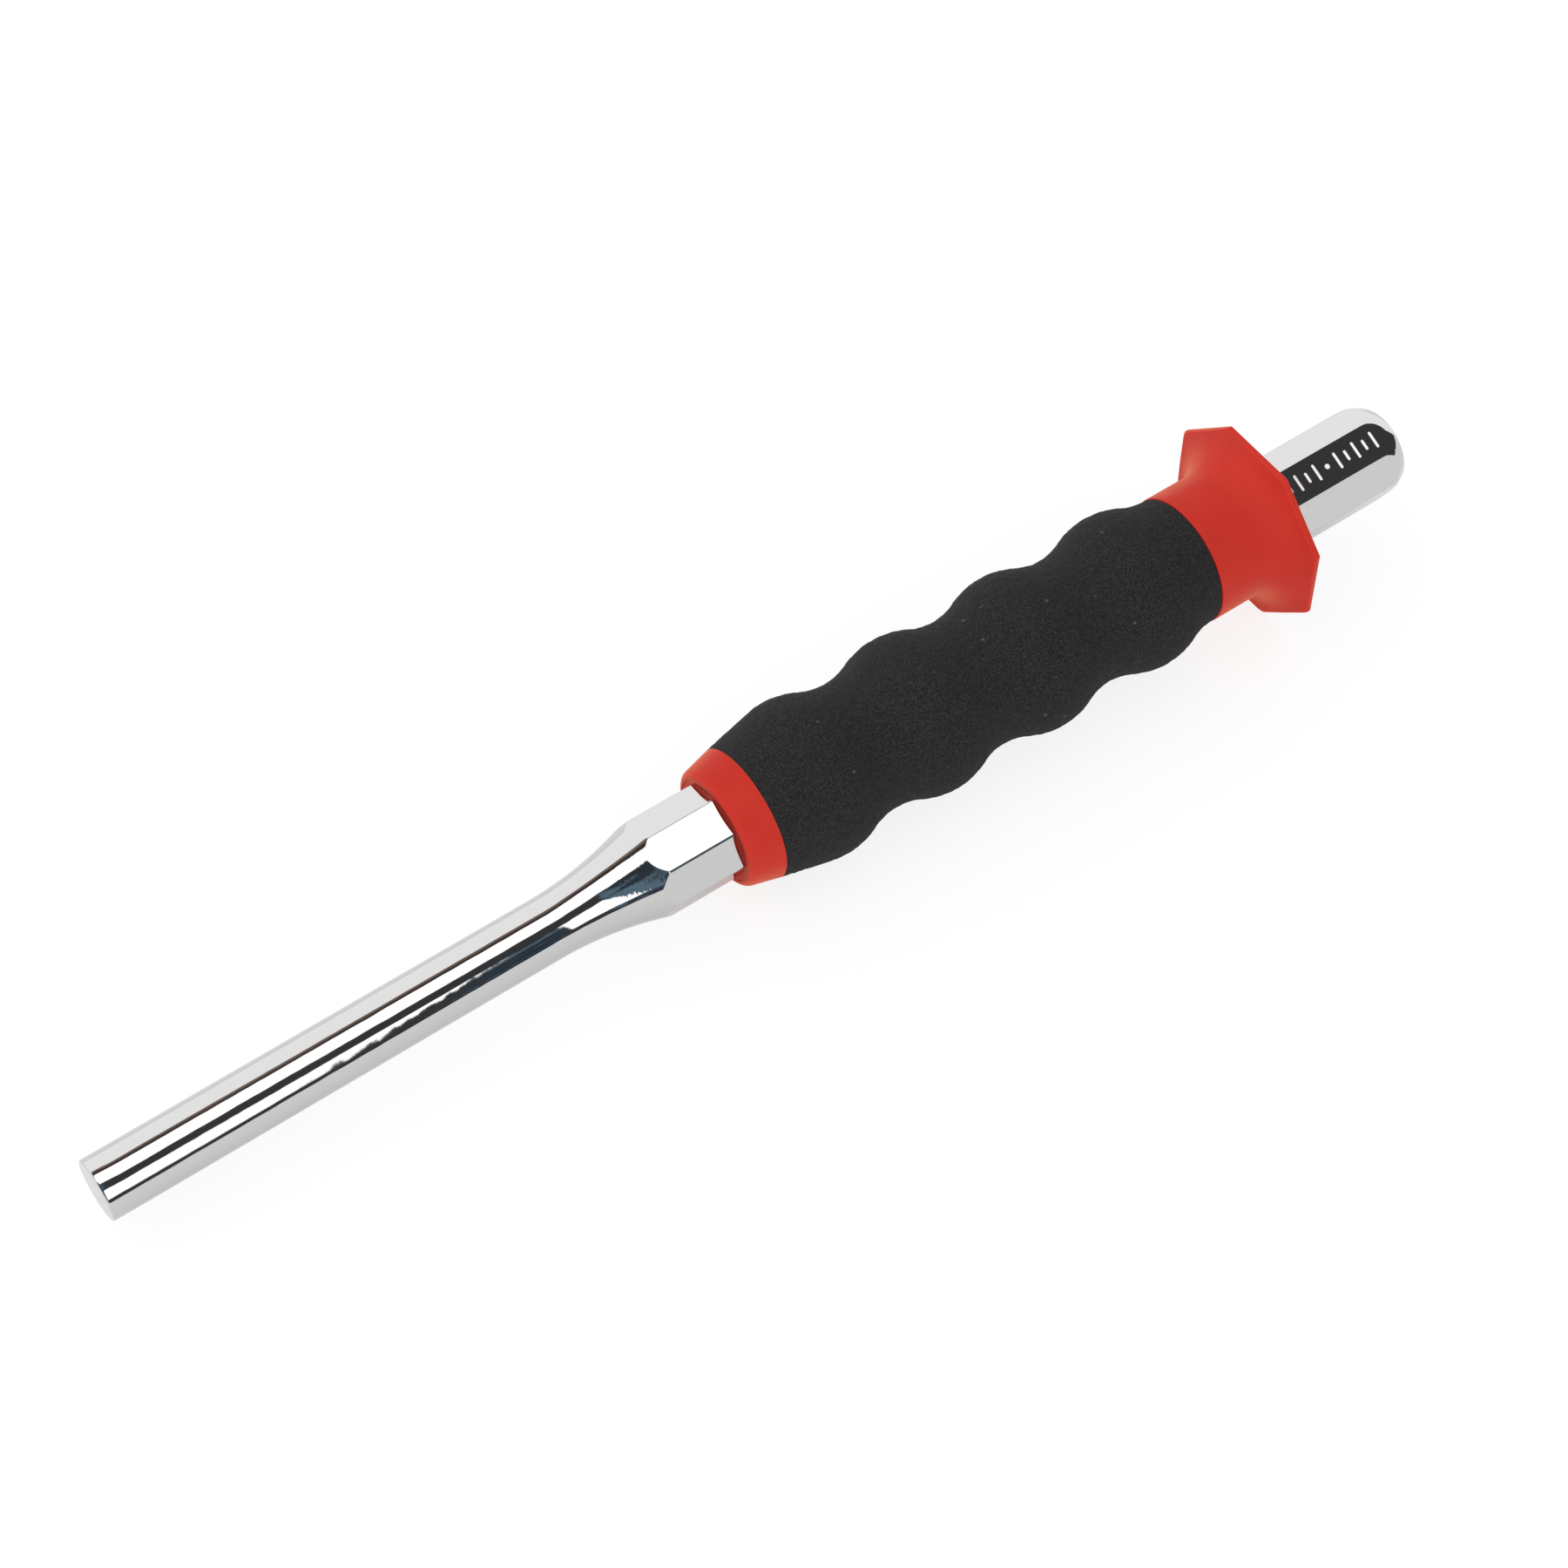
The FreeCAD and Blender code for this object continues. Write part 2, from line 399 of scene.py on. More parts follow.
@dataclass(frozen=True)
class ChromePlate:
    """Bright chrome over forged and turned steel."""

    colour: tuple[float, float, float, float] = (0.625, 0.623, 0.622, 1.0)
    roughness: float = 0.03
    roughness_spread: float = 0.04
    waviness: float = 0.00003
    turning: float = 0.000014
    turned_from: float = 0.086
    turned_to: float = 0.097
    pits_per_metre: float = 150.0

    def material(self) -> bpy.types.Material:
        """The finish: a mirror with slow waves, turning lines at the root of the shank and a few pits."""
        made, sheet, shader, place = new_material("chrome plate")
        shader.inputs["Base Color"].default_value = self.colour
        shader.inputs["Metallic"].default_value = 1.0
        haze = sheet.noise(place, 90.0, 4.0)
        pits = self.pits(sheet, place)
        low, high = self.roughness, self.roughness + self.roughness_spread
        rough = sheet.between(haze, 0.35, 0.75, low, high)
        rough = sheet.math("ADD", rough, sheet.math("MULTIPLY", pits, 0.3))
        sheet.put(shader.inputs["Roughness"], rough)
        waves = sheet.noise(place, 260.0, 1.0)
        waved = sheet.node("ShaderNodeBump", Strength=1.0, Distance=self.waviness, Height=waves)
        lines = sheet.noise(sheet.stretched(place, (1500.0, 15.0, 15.0)), 1.0, 2.0)
        along = sheet.node("ShaderNodeSeparateXYZ", Vector=place).outputs["X"]
        middle = (self.turned_from + self.turned_to) / 2
        reach = (self.turned_to - self.turned_from) / 2
        off = sheet.math("ABSOLUTE", sheet.math("SUBTRACT", along, middle))
        there = sheet.between(off, reach * 0.5, reach, 1.0, 0.12)
        turned = sheet.node("ShaderNodeBump", Strength=1.0, Distance=self.turning,
                            Height=sheet.math("MULTIPLY", lines, there), Normal=waved.outputs[0])
        pitted = sheet.node("ShaderNodeBump", Strength=0.5, Distance=0.00004, Height=pits,
                            Normal=turned.outputs[0], invert=True)
        sheet.put(shader.inputs["Normal"], pitted.outputs[0])
        return made

    def pits(self, sheet: Sheet, place: bpy.types.NodeSocket) -> bpy.types.NodeSocket:
        """Small round pits in about one cell of eight."""
        cells = sheet.node("ShaderNodeTexVoronoi", Vector=place, Scale=self.pits_per_metre, feature="F1")
        dots = sheet.between(cells.outputs["Distance"], 0.012, 0.03, 1.0, 0.0)
        pick = sheet.node("ShaderNodeSeparateColor", Color=cells.outputs["Color"]).outputs[0]
        return sheet.math("MULTIPLY", dots, sheet.between(pick, 0.84, 0.88, 0.0, 1.0))


@dataclass(frozen=True)
class StampedSteel:
    """Frosted floor of the stamped marks."""

    colour: tuple[float, float, float, float] = (0.95, 0.945, 0.935, 1.0)
    roughness: float = 0.5
    roughness_spread: float = 0.15

    def material(self) -> bpy.types.Material:
        """The finish: frosted metal with the die's fine grain, which scatters light from all round."""
        made, sheet, shader, place = new_material("stamped steel")
        shader.inputs["Base Color"].default_value = self.colour
        shader.inputs["Metallic"].default_value = 0.1
        fine = sheet.noise(place, 3500.0, 3.0)
        rough = sheet.between(fine, 0.3, 0.7, self.roughness, self.roughness + self.roughness_spread)
        sheet.put(shader.inputs["Roughness"], rough)
        bump = sheet.node("ShaderNodeBump", Strength=0.2, Distance=0.00005, Height=fine)
        sheet.put(shader.inputs["Normal"], bump.outputs[0])
        return made


@dataclass(frozen=True)
class MouldedRed:
    """Satin red hard plastic straight from the mould."""

    name: str
    deep: tuple[float, float, float, float] = (0.508, 0.0290, 0.0185, 1.0)
    light: tuple[float, float, float, float] = (0.548, 0.0340, 0.0215, 1.0)
    # Painted sheen: a lighter orange, mixed into the colour where the surface is seen at a shallow angle.
    painted_sheen: tuple[float, float, float, float] = (0.600, 0.0900, 0.0330, 1.0)
    roughness: float = 0.45
    roughness_spread: float = 0.1
    bleed: float = 0.35
    bleed_depth: float = 0.9 * MM

    def material(self) -> bpy.types.Material:
        """The finish: cloudy colour with a painted sheen that turns it lighter and more orange at a shallow
        angle, a fine grain and faint flow waves.
        """
        made, sheet, shader, place = new_material(self.name)
        cloud = sheet.noise(place, 55.0, 3.0)
        clouded = sheet.mixed(sheet.between(cloud, 0.3, 0.7, 0.0, 1.0), self.deep, self.light)
        # Painted sheen: the base colour turns toward the lighter orange where the surface is seen at a
        # shallow angle.
        facing = sheet.node("ShaderNodeLayerWeight", Blend=0.5).outputs["Facing"]
        painted_sheen_colour = sheet.mixed(sheet.between(facing, 0.45, 0.95, 0.0, 1.0), clouded, self.painted_sheen)
        sheet.put(shader.inputs["Base Color"], painted_sheen_colour)
        fine = sheet.noise(place, 2600.0, 2.0)
        scuff = sheet.noise(sheet.stretched(place, (140.0, 420.0, 420.0)), 1.0, 3.0)
        rough = sheet.between(scuff, 0.35, 0.75, self.roughness, self.roughness + self.roughness_spread)
        sheet.put(shader.inputs["Roughness"], rough)
        relief = sheet.math("ADD", sheet.math("MULTIPLY", fine, 0.35), sheet.noise(place, 170.0, 1.0))
        bump = sheet.node("ShaderNodeBump", Strength=0.10, Distance=0.00012, Height=relief)
        sheet.put(shader.inputs["Normal"], bump.outputs[0])
        shader.inputs["Specular IOR Level"].default_value = 0.5
        shader.inputs["IOR"].default_value = 1.18
        shader.inputs["Subsurface Weight"].default_value = self.bleed
        shader.inputs["Subsurface Radius"].default_value = (1.0, 0.22, 0.12)
        shader.inputs["Subsurface Scale"].default_value = self.bleed_depth
        return made


@dataclass(frozen=True)
class FoamRubber:
    """Matt black closed-cell foam with a skin of tiny cells."""

    dark: tuple[float, float, float, float] = (0.0075, 0.0075, 0.0076, 1.0)
    pale: tuple[float, float, float, float] = (0.0340, 0.0339, 0.0337, 1.0)
    fleck: tuple[float, float, float, float] = (0.085, 0.085, 0.085, 1.0)
    cell_mm: float = 0.27

    def material(self) -> bpy.types.Material:
        """The finish: cells as bump and tone, with dusty flecks here and there."""
        made, sheet, shader, place = new_material("foam rubber")
        per_metre = 1 / (self.cell_mm * MM)
        cells = sheet.node("ShaderNodeTexVoronoi", Vector=place, Scale=per_metre, feature="SMOOTH_F1")
        mottle = sheet.noise(place, per_metre * 0.8, 3.0)
        open_cells = sheet.math("MULTIPLY", cells.outputs["Distance"], 0.5)
        tone = sheet.math("ADD", open_cells, sheet.math("MULTIPLY", mottle, 0.8))
        rubber = sheet.mixed(sheet.between(tone, 0.35, 0.95, 0.0, 1.0), self.dark, self.pale)
        specks = sheet.node("ShaderNodeTexVoronoi", Vector=place, Scale=260.0, feature="F1")
        dust = sheet.between(specks.outputs["Distance"], 0.055, 0.10, 1.0, 0.0)
        pick = sheet.node("ShaderNodeSeparateColor", Color=specks.outputs["Color"]).outputs[0]
        dust = sheet.math("MULTIPLY", dust, sheet.between(pick, 0.72, 0.80, 0.0, 0.8))
        sheet.put(shader.inputs["Base Color"], sheet.mixed(dust, rubber, self.fleck))
        sheet.put(shader.inputs["Roughness"], sheet.between(mottle, 0.3, 0.7, 0.78, 0.95))
        bump = sheet.node("ShaderNodeBump", Strength=0.55, Distance=0.00011, Height=tone)
        sheet.put(shader.inputs["Normal"], bump.outputs[0])
        shader.inputs["Specular IOR Level"].default_value = 0.22
        return made


@dataclass(frozen=True)
class PalePaper:
    """Plain near-white sheet on a light table."""

    colour: tuple[float, float, float, float] = (0.18, 0.18, 0.18, 1.0)
    mirrored_colour: tuple[float, float, float, float] = (0.70, 0.70, 0.70, 1.0)
    glow: float = 0.83
    mirrored_glow: float = 0.20

    def material(self) -> bpy.types.Material:
        """The finish: matt paper with a barely visible tooth, lit evenly from below.

        Mirrored in the chrome it glows less and takes more of the tool's own shade.
        """
        made, sheet, shader, place = new_material("pale paper")
        mirrored = sheet.node("ShaderNodeLightPath").outputs["Is Glossy Ray"]
        sheet.put(shader.inputs["Base Color"], sheet.mixed(mirrored, self.colour, self.mirrored_colour))
        shader.inputs["Emission Color"].default_value = (1.0, 1.0, 1.0, 1.0)
        glow = sheet.between(mirrored, 0.0, 1.0, self.glow, self.mirrored_glow)
        sheet.put(shader.inputs["Emission Strength"], glow)
        shader.inputs["Roughness"].default_value = 0.9
        shader.inputs["Specular IOR Level"].default_value = 0.1
        bump = sheet.node("ShaderNodeBump", Strength=0.04, Distance=0.0001, Height=sheet.noise(place, 900.0))
        sheet.put(shader.inputs["Normal"], bump.outputs[0])
        return made


# ---------------------------------------------------------------------------------------------------
# Pieces
# ---------------------------------------------------------------------------------------------------


def dress(piece: bpy.types.Object, node: Node, slot: Slot, *finishes: bpy.types.Material) -> bpy.types.Object:
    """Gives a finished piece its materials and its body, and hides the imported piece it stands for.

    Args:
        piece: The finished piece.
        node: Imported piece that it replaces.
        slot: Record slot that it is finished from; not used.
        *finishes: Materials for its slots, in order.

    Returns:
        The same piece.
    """
    if not piece.data.materials:
        for finish in finishes:
            piece.data.materials.append(finish)
    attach(piece, Body.ROOT.value)
    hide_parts(node.value)
    log.info("%s: %d faces in place of %s", piece.name, len(piece.data.polygons), node.value)
    return piece


@dataclass
class Shank:
    """The octagonal bar that every piece is centred on."""

    flat: float = 7.5 * MM
    roll: float = 0.607 * MM
    first_corner: float = 0.0

    def radius(self, angle: np.ndarray, under: float = 0.0) -> np.ndarray:
        """Distance to the bar's surface, less an amount under it."""
        return octagon_radius(angle, self.flat - under, self.roll, self.first_corner)

    def corner(self) -> float:
        """Distance to a sharp corner of the bar."""
        return self.flat / math.cos(HALF_SIDE)


@dataclass
class PunchForging:
    """Pin, turned blend, octagonal shank and crowned head, forged in one."""

    shank: Shank
    pin_radius: float = 5.0 * MM
    pin_length: float = 76.0 * MM
    tip_edge: float = 0.3 * MM
    blend_radius: float = 61.0 * MM
    crown_radius: float = 8.8 * MM
    crown_length: float = 5.0 * MM
    corner_break: float = 0.05 * MM
    crease_blend: float = 0.05 * MM
    face_edge: float = 0.5 * MM
    bar_start: float = 98.0 * MM
    pole_radius: float = 0.4 * MM
    mark_depth: float = 0.15 * MM
    mark_width: float = 0.5 * MM
    long_mark: float = 3.0 * MM
    short_mark: float = 1.9 * MM
    mark_pitch: float = 1.9 * MM
    marks_per_group: int = 5
    group_centres: tuple[float, float] = (8.4 * MM, 20.4 * MM)
    dot: float = 0.9 * MM

    @property
    def head(self) -> float:
        """Place of the struck face along the axis."""
        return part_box(Node.PUNCH.value)[1].x

    def turned_blend(self, x: np.ndarray) -> np.ndarray:
        """Radius of the turned blend: pin + R - sqrt(R^2 - (x - pin length)^2)."""
        run = np.clip(x - self.pin_length, 0, self.blend_radius)
        return self.pin_radius + self.blend_radius - np.sqrt(self.blend_radius ** 2 - run ** 2)

    def blend_end(self, radius: np.ndarray) -> np.ndarray:
        """Where the turned blend reaches a radius."""
        rise = radius - self.pin_radius
        return self.pin_length + np.sqrt(self.blend_radius ** 2 - (self.blend_radius - rise) ** 2)

    def crown(self, x: np.ndarray) -> np.ndarray:
        """Radius of the head's rounding, tangent to the rolled corners where it starts."""
        top = self.shank.corner() - self.corner_break
        run = np.clip(x - self.crown_start, 0, self.crown_radius)
        return top - self.crown_radius + np.sqrt(self.crown_radius ** 2 - run ** 2)

    @property
    def crown_start(self) -> float:
        """Where the head's rounding leaves the corners."""
        return self.head - self.crown_length

    def crown_end(self, radius: np.ndarray) -> np.ndarray:
        """Where the head's rounding comes down to a radius."""
        centre = self.shank.corner() - self.corner_break - self.crown_radius
        under_root = self.crown_radius ** 2 - (np.minimum(radius, centre + self.crown_radius) - centre) ** 2
        return self.crown_start + np.sqrt(np.clip(under_root, 0, None))

    def skin(self) -> Skin:
        """All rows from the tip's face to the struck face."""
        angle = columns(14, 0.072, 7, self.shank.first_corner)
        bar = self.shank.radius(angle)[None, :]
        skin = Skin(angle)
        skin.add(0.0, np.linspace(self.pole_radius, self.pin_radius - self.tip_edge, 6))
        turn = np.linspace(0, math.pi / 2, 7)[1:]
        tip_r = self.pin_radius - self.tip_edge + self.tip_edge * np.sin(turn)
        skin.add(self.tip_edge * (1 - np.cos(turn)), tip_r)
        skin.add(np.linspace(self.tip_edge, self.pin_length, 24)[1:], self.pin_radius)
        near = 0.5 * MM
        meet = self.blend_end(bar)
        approach = self.pin_length + (meet - near - self.pin_length) * np.linspace(0, 1, 44)[1:, None]
        crossing = meet + near * np.linspace(-1, 1, 15)[1:, None]
        settle = meet + near + (self.bar_start - meet - near) * np.linspace(0, 1, 4)[1:, None]
        x = np.concatenate((approach, crossing, settle))
        skin.add(x, smooth_lower(self.turned_blend(x), bar, self.crease_blend))
        bar_end = self.crown_start - 1.0 * MM
        skin.add(np.linspace(self.bar_start, bar_end, 16)[1:], bar)
        fall = self.crown_end(bar)
        near = 0.28 * MM
        approach = bar_end + (fall - near - bar_end) * np.linspace(0, 1, 9)[1:, None]
        crossing = fall + near * np.linspace(-1, 1, 13)[1:, None]
        run = self.crown_length - self.face_edge
        rise = math.sqrt((self.crown_radius - self.face_edge) ** 2 - run ** 2)
        crown_centre = self.shank.corner() - self.corner_break - self.crown_radius
        crown_end = math.atan2(rise, run)
        last = self.crown_start + self.crown_radius * math.cos(crown_end)
        descent = fall + near + (last - fall - near) * np.linspace(0, 1, 20)[1:, None]
        x = np.concatenate((approach, crossing, descent))
        skin.add(x, smooth_lower(self.crown(x), bar, self.crease_blend))
        turn = np.linspace(crown_end, 0, 9)[1:]
        edge_x = self.crown_start + run + self.face_edge * np.cos(turn)
        skin.add(edge_x, crown_centre + rise + self.face_edge * np.sin(turn))
        skin.add(self.head, np.linspace(crown_centre + rise, self.pole_radius, 7)[1:])
        return skin

    def stamp(self, x: float, length: float, width: float) -> tuple[np.ndarray, np.ndarray]:
        """Outline of one round-ended stamping tool, seen square on to the marked flat.

        The outline is two half circles of radius width / 2, with their centres length - width apart.

        Args:
            x: Place along the axis.
            length: Length across the flat.
            width: Stroke width.

        Returns:
            Outline points around the tool, as places along the axis and sideways offsets.
        """
        half = width / 2
        turn = np.linspace(0, 2 * math.pi, 33)[:-1]
        side = np.sin(turn) * half + np.sign(np.sin(turn)) * (length - width) / 2
        return x + np.cos(turn) * half, side

    def stamps(self) -> list[tuple[np.ndarray, np.ndarray]]:
        """Two groups of bars, long and short in turn, with a dot between the groups."""
        made = []
        for distance in self.group_centres:
            for number in range(self.marks_per_group):
                offset = (number - (self.marks_per_group - 1) / 2) * self.mark_pitch
                length = self.long_mark if number % 2 == 0 else self.short_mark
                made.append(self.stamp(self.head - distance + offset, length, self.mark_width))
        middle = sum(self.group_centres) / len(self.group_centres)
        made.append(self.stamp(self.head - middle, self.dot, self.dot))
        return made

    def stamping_tools(self) -> bpy.types.Object:
        """One object of all stamping tools, turned onto the marked flat."""
        points, corners, counts = [], [], []
        floor = self.shank.flat - self.mark_depth
        top = self.shank.flat + self.mark_depth
        base = 0
        for x, side in self.stamps():
            count = len(x)
            ring = np.stack((x, side), axis=-1)
            low = np.column_stack((ring, np.full(count, floor)))
            high = np.column_stack((ring, np.full(count, top)))
            points.append(np.concatenate((low, high)))
            here = base + np.arange(count)
            ahead = base + np.roll(np.arange(count), -1)
            walls = np.stack((here, ahead, ahead + count, here + count), axis=-1)
            corners.extend((walls.ravel(), here[::-1], here + count))
            counts.extend([4] * count + [count, count])
            base += 2 * count
        cloud = np.concatenate(points)
        turn = HALF_SIDE
        y = cloud[:, 1] * math.cos(turn) - cloud[:, 2] * math.sin(turn)
        z = cloud[:, 1] * math.sin(turn) + cloud[:, 2] * math.cos(turn)
        placed = np.column_stack((cloud[:, 0], y, z))
        return mesh_object("stamping_tools", placed, np.concatenate(corners), np.array(counts))

    def build(self) -> bpy.types.Object:
        """The finished forging, with its stamped tally cut in."""
        steel = ChromePlate().material()
        frosted = StampedSteel().material()
        piece = self.skin().build("steel_punch", ring=False)
        tools = self.stamping_tools()
        for made in (piece, tools):
            made.data.materials.append(steel)
            made.data.materials.append(frosted)
        tools.data.polygons.foreach_set("material_index", np.ones(len(tools.data.polygons), np.int32))
        cut = piece.modifiers.new("stamps", "BOOLEAN")
        cut.operation = "DIFFERENCE"
        cut.solver = "EXACT"
        cut.object = tools
        bpy.context.view_layer.update()
        shown = piece.evaluated_get(bpy.context.evaluated_depsgraph_get())
        stamped = bpy.data.meshes.new_from_object(shown)
        piece.modifiers.clear()
        piece.data = stamped
        shade(stamped)
        bpy.data.objects.remove(tools)
        return dress(piece, Node.PUNCH, Slot.STEEL)


@dataclass
class HandGuard:
    """Core tube, neck, flare and octagonal rim, moulded in one."""

    shank: Shank
    core_wall: float = 1.1 * MM
    squeeze: float = 0.05 * MM
    flare_radius: float = 5.9 * MM
    rim_thickness: float = 1.1 * MM
    rim_roll: float = 0.6 * MM
    corner_roll: float = 0.85 * MM
    rim_edge: float = 0.3 * MM
    neck_edge: float = 0.15 * MM
    mouth_chamfer: float = 0.4 * MM
    neck_step: float = 0.1 * MM
    foam_wall: float = 1.8 * MM

    def build(self) -> bpy.types.Object:
        """The finished moulding."""
        low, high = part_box(Node.GUARD.value)
        foam_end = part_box(Node.FOAM.value)[1].x
        core = self.shank.corner() + self.core_wall
        neck = core + self.foam_wall + self.neck_step
        flat = high.z
        angle = columns(16, 0.10, 8, HALF_SIDE)
        angle = np.mod(np.concatenate((angle, self.shank_columns())), 2 * math.pi)
        angle = np.unique(np.round(angle, 5))
        rim = octagon_radius(angle, flat, self.rim_roll, HALF_SIDE)[None, :]
        bore = self.shank.radius(angle, self.squeeze)[None, :]
        skin = Skin(angle)
        rim_front = high.x - self.rim_thickness
        flare_start = rim_front - self.flare_radius
        skin.add(np.linspace(low.x, foam_end, 18), core)
        skin.add(foam_end, np.array([core + 0.4 * MM, neck - self.neck_edge]))
        turn = np.linspace(0, math.pi / 2, 5)[1:]
        edge_r = neck - self.neck_edge * (1 - np.sin(turn))
        skin.add(foam_end + self.neck_edge * (1 - np.cos(turn)), edge_r)
        skin.add(np.linspace(foam_end + self.neck_edge, flare_start, 14)[1:], neck)
        share = (1 - np.cos(np.linspace(0, math.pi / 2, 40)[1:]))[:, None]
        radius = neck + (rim - self.rim_edge - neck) * share
        rise = np.clip(self.flare_radius - (radius - neck), 0, None)
        x = flare_start + np.sqrt(np.clip(self.flare_radius ** 2 - rise ** 2, 0, None))
        x += self.set_back(radius - neck - self.flare_radius)
        skin.add(x, radius)
        turn = np.linspace(0, math.pi / 2, 8)[1:, None]
        skin.add(x[-1] + self.rim_edge * (1 - np.cos(turn)), rim - self.rim_edge * (1 - np.sin(turn)))
        back = high.x - self.rim_edge
        start = x[-1] + self.rim_edge
        skin.add(start + (back - start) * np.linspace(0, 1, 5)[1:, None], rim)
        skin.add(back + self.rim_edge * np.sin(turn), rim - self.rim_edge * (1 - np.cos(turn)))
        mouth = self.shank.corner() + self.mouth_chamfer
        inner_rim = rim - self.rim_edge
        skin.add(high.x, inner_rim + (mouth - inner_rim) * np.linspace(0, 1, 9)[1:, None])
        skin.add(high.x - (mouth - bore), bore)
        skin.add(np.linspace(high.x - 2 * MM, low.x, 12), bore)
        return dress(skin.build("red_hand_guard", ring=True), Node.GUARD, Slot.GUARD,
                     MouldedRed("guard plastic").material())

    def set_back(self, past: np.ndarray) -> np.ndarray:
        """How far the rim's front lies behind the flare's edge, this far outside it: a quarter circle."""
        held = np.clip(past, 0, self.corner_roll)
        return self.corner_roll - np.sqrt(self.corner_roll ** 2 - held ** 2)

    def shank_columns(self) -> np.ndarray:
        """Columns that follow the corners of the bore."""
        corner = self.shank.first_corner + np.arange(SIDES) * SIDE_ANGLE
        return (corner[:, None] + np.linspace(-0.06, 0.06, 7)[None, :] * HALF_SIDE).ravel()


@dataclass
class FrontCollar:
    """End ring with a funnelled octagonal mouth."""

    shank: Shank
    squeeze: float = 0.05 * MM
    core_wall: float = 1.1 * MM
    ring_wall: float = 2.0 * MM
    front_wall: float = 2.7 * MM
    taper: float = math.radians(14.0)
    shoulder_radius: float = 1.3 * MM
    mouth_gap: float = 0.65 * MM
    mouth_depth: float = 0.5 * MM
    lip_edge: float = 0.22 * MM

    def build(self) -> bpy.types.Object:
        """The finished ring."""
        low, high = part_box(Node.COLLAR.value)
        core = self.shank.corner() + self.core_wall
        rear = core + self.ring_wall
        lip = self.shank.corner() + self.mouth_gap
        angle = columns(18, 0.08, 8, self.shank.first_corner)
        bore = self.shank.radius(angle, self.squeeze)[None, :]
        flat = self.shank.flat
        slope = (lip - flat) / self.mouth_depth
        skin = Skin(angle)
        deep = low.x + self.mouth_depth - (bore - flat) / slope
        skin.add(deep, bore)
        funnel = np.linspace(0, 1, 7)[1:, None]
        funnel_r = bore + (lip - self.lip_edge - bore) * funnel
        skin.add(deep + (low.x + self.lip_edge - deep) * funnel, funnel_r)
        turn = np.linspace(0, math.pi / 2, 5)[1:]
        skin.add(low.x + self.lip_edge * (1 - np.sin(turn)), lip + self.lip_edge * (1 - np.cos(turn)))
        centre_x = low.x + self.shoulder_radius
        over_centre = rear - (high.x - centre_x) * math.tan(self.taper)
        centre_r = over_centre - self.shoulder_radius / math.cos(self.taper)
        skin.add(low.x, np.linspace(lip + self.lip_edge, centre_r, 4)[1:])
        turn = np.linspace(math.pi, math.pi / 2 + self.taper, 14)[1:]
        shoulder_r = centre_r + self.shoulder_radius * np.sin(turn)
        skin.add(centre_x + self.shoulder_radius * np.cos(turn), shoulder_r)
        share = np.linspace(0, 1, 10)[1:]
        start_x = centre_x - self.shoulder_radius * math.sin(self.taper)
        start_r = centre_r + self.shoulder_radius * math.cos(self.taper)
        skin.add(start_x + (high.x - start_x) * share, start_r + (rear - start_r) * share)
        socket = core - self.squeeze
        skin.add(high.x, np.linspace(rear, socket, 5)[1:])
        floor = low.x + self.front_wall
        skin.add(np.linspace(high.x, floor, 5)[1:], socket)
        skin.add(floor, bore + (socket - bore) * np.array([[0.5], [0.0]]))
        return dress(skin.build("red_front_collar", ring=True), Node.COLLAR, Slot.COLLAR,
                     MouldedRed("collar plastic").material())


